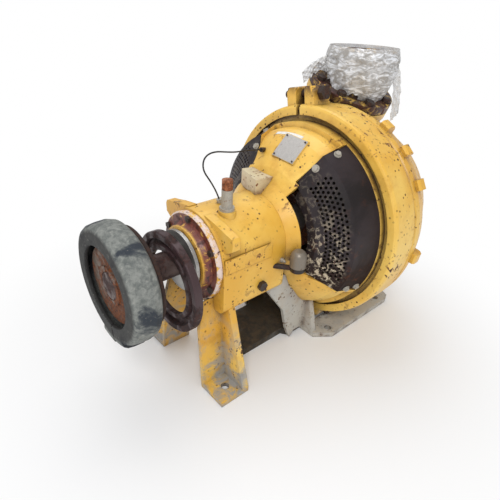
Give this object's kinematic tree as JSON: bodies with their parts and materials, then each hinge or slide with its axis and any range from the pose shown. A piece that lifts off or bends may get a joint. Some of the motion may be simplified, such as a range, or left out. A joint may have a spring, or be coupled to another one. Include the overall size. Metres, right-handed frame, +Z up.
{
  "type": "slurry pump",
  "caption": "Worn yellow horizontal slurry pump with a clamped wet end, a bearing frame on legs, side guards, a tilted discharge branch and half a tyre coupling.",
  "frame": {"origin": "on the floor, midway between the two drive-end foot bolts", "axes": "+X along the shaft from the coupling towards the suction flange, +Z up, -Y the side with the grease cup and level plug"},
  "size_m": [1.251, 0.815, 1.0029],
  "materials": {
    "bright_steel": "machined",
    "cable_black": "matt",
    "clear_film": "clear crumpled film",
    "dark_fastener": "dark rusted",
    "gasket_rubber": "matt",
    "guard_steel": "old dark paint with rust and dried slurry",
    "lantern_brass": "machined",
    "packing_fibre": "braided",
    "plate_aluminium": "brushed",
    "rusty_steel": "rusted",
    "tyre_rubber": "dusty",
    "wear_iron": "as cast",
    "weathered_steel": "weathered bare steel",
    "yellow_paint": "worn gloss paint with rust chips",
    "zinc_grey": "dusty zinc grey"
  },
  "bodies": {
    "frame": {"back_liner": "wear_iron", "base_tie_plate": "dark_fastener", "bearing_housing": "yellow_paint", "bell": "yellow_paint", "breather_pipe": "zinc_grey", "cable_clip": "dark_fastener", "cable_gland": "zinc_grey", "clamp_bolts": "dark_fastener", "clamp_nuts": "dark_fastener", "clamp_ring_far_half": "yellow_paint", "clamp_ring_near_half": "yellow_paint", "discharge_bend": "yellow_paint", "discharge_bolts": "dark_fastener", "discharge_gasket": "gasket_rubber", "discharge_nuts": "dark_fastener", "drive_end_bearing_outer_race": "bright_steel", "drive_end_cover": "yellow_paint", "drive_end_cover_bolts": "dark_fastener", "front_leg_far": "yellow_paint", "front_leg_near": "yellow_paint", "gland_packing": "packing_fibre", "gland_studs": "weathered_steel", "grease_cup_base": "dark_fastener", "grease_nipple": "zinc_grey", "guard_far": "guard_steel", "guard_near": "guard_steel", "guard_screws": "zinc_grey", "lantern_ring": "lantern_brass", "lifting_block": "zinc_grey", "nameplate": "plate_aluminium", "nameplate_rivets": "dark_fastener", "oil_level_plug": "dark_fastener", "pump_casing": "yellow_paint", "pump_end_bearing_outer_race": "bright_steel", "pump_end_cover": "yellow_paint", "rear_foot_far": "yellow_paint", "rear_foot_near": "yellow_paint", "sensor_cable": "cable_black", "stuffing_box": "wear_iron", "suction_cover": "yellow_paint", "suction_cover_nuts": "dark_fastener", "wrapping_film": "clear_film"},
    "rotor": {"shaft": "weathered_steel", "shaft_sleeve": "bright_steel", "impeller": "wear_iron", "coupling_hub": "rusty_steel", "shaft_key": "bright_steel", "coupling_tyre": "tyre_rubber", "tyre_clamp_ring": "rusty_steel", "tyre_clamp_screws": "dark_fastener", "drive_end_labyrinth": "bright_steel", "drive_end_bearing_inner_race": "bright_steel", "drive_end_bearing_rollers": "bright_steel", "pump_end_bearing_inner_race": "bright_steel", "pump_end_bearing_rollers": "bright_steel"},
    "hanging_ring_body": {"hanging_ring": "guard_steel"},
    "gland": {"gland_follower": "rusty_steel", "gland_nuts": "dark_fastener"},
    "breather_cap_body": {"breather_cap": "rusty_steel"},
    "grease_cap_body": {"grease_cup_cap": "zinc_grey"}
  },
  "joints": [
    {"name": "rotor_spin", "type": "hinge", "parent": "frame", "child": "rotor", "pos_m": [0, 0, 0.44], "axis": [1, 0, 0], "continuous": true},
    {"name": "ring_slide", "type": "slide", "parent": "frame", "child": "hanging_ring_body", "axis": [1, 0, 0], "range_m": [-0.07, 0.02]},
    {"name": "gland_slide", "type": "slide", "parent": "frame", "child": "gland", "axis": [1, 0, 0], "range_m": [-0.012, 0]},
    {"name": "breather_cap_turn", "type": "hinge", "parent": "frame", "child": "breather_cap_body", "pos_m": [0.095, -0.05, 0.665], "axis": [0, 0, 1], "continuous": true},
    {"name": "grease_cap_turn", "type": "hinge", "parent": "frame", "child": "grease_cap_body", "pos_m": [0.27, -0.204, 0.402], "axis": [0, 0, 1], "continuous": true}
  ]
}
